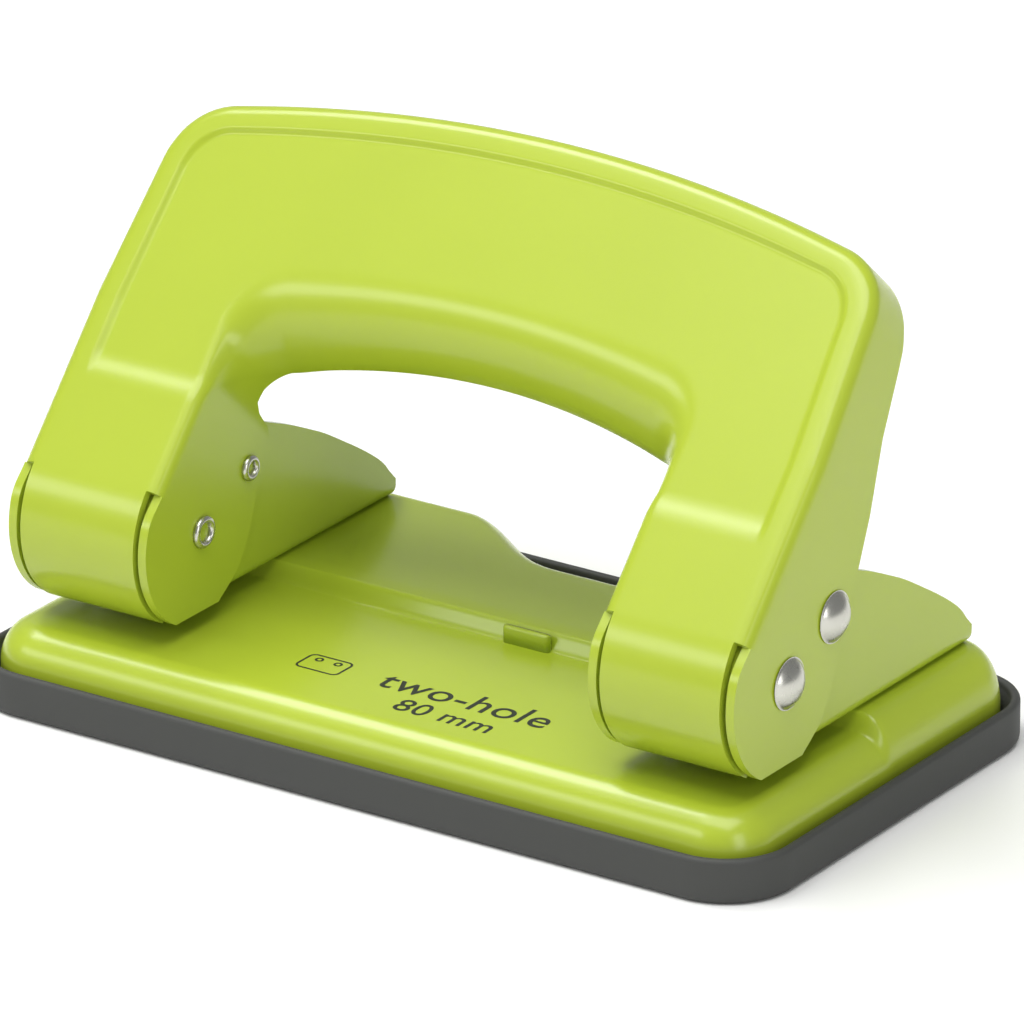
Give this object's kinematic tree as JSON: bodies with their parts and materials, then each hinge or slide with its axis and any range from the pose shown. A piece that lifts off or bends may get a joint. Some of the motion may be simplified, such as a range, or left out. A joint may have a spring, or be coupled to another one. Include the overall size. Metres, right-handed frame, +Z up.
{
  "type": "two-hole paper punch",
  "caption": "Desk paper punch with a wide arched lever, sprung punches in twin towers over a pressed base, and a pull-off tray for the chips.",
  "frame": {"origin": "under the middle of the tray, on the table", "axes": "+X along the length, from the left tower to the right one; +Y from the paper side to the back; +Z up"},
  "size_m": [0.11, 0.064, 0.0683],
  "materials": {
    "green_paint": "satin lime green enamel",
    "tray_plastic": "soft matte dark grey",
    "rivet_steel": "plated",
    "tool_steel": "ground and hardened",
    "guide_brass": "turned",
    "spring_steel": "bright wire"
  },
  "bodies": {
    "base": {"base_shell": "green_paint", "left_bracket": "green_paint", "left_bracket_rivets": "rivet_steel", "left_die": "tool_steel", "left_guide_bush": "guide_brass", "left_pivot_rivet": "rivet_steel", "left_pivot_spacer": "rivet_steel", "left_spring": "spring_steel", "right_bracket": "green_paint", "right_bracket_rivets": "rivet_steel", "right_die": "tool_steel", "right_guide_bush": "guide_brass", "right_pivot_rivet": "rivet_steel", "right_pivot_spacer": "rivet_steel", "right_spring": "spring_steel"},
    "lever": {"lever": "green_paint", "left_drive_rivet": "rivet_steel", "left_drive_sleeve": "rivet_steel", "right_drive_rivet": "rivet_steel", "right_drive_sleeve": "rivet_steel"},
    "left_punch": {"left_punch": "tool_steel"},
    "right_punch": {"right_punch": "tool_steel"},
    "tray": {"chip_tray": "tray_plastic"}
  },
  "joints": [
    {"name": "lever_hinge", "type": "hinge", "parent": "base", "child": "lever", "pos_m": [0, -0.016, 0.0215], "axis": [-1, 0, 0], "range_deg": [0, 24], "stiffness_Nm_per_rad": 0.35, "springref_deg": -28.65},
    {"name": "left_punch_slide", "type": "slide", "parent": "base", "child": "left_punch", "axis": [0, 0, -1], "range_m": [0, 0.0043], "deforming": ["left_spring"]},
    {"name": "right_punch_slide", "type": "slide", "parent": "base", "child": "right_punch", "axis": [0, 0, -1], "range_m": [0, 0.0043], "deforming": ["right_spring"]},
    {"name": "tray_pull", "type": "slide", "parent": "base", "child": "tray", "axis": [0, 0, -1], "range_m": [0, 0.03]}
  ],
  "couplings": [
    {"joint": "left_punch_slide", "follows": "lever_hinge", "m_per_rad": 0.010116},
    {"joint": "right_punch_slide", "follows": "lever_hinge", "m_per_rad": 0.010116}
  ]
}
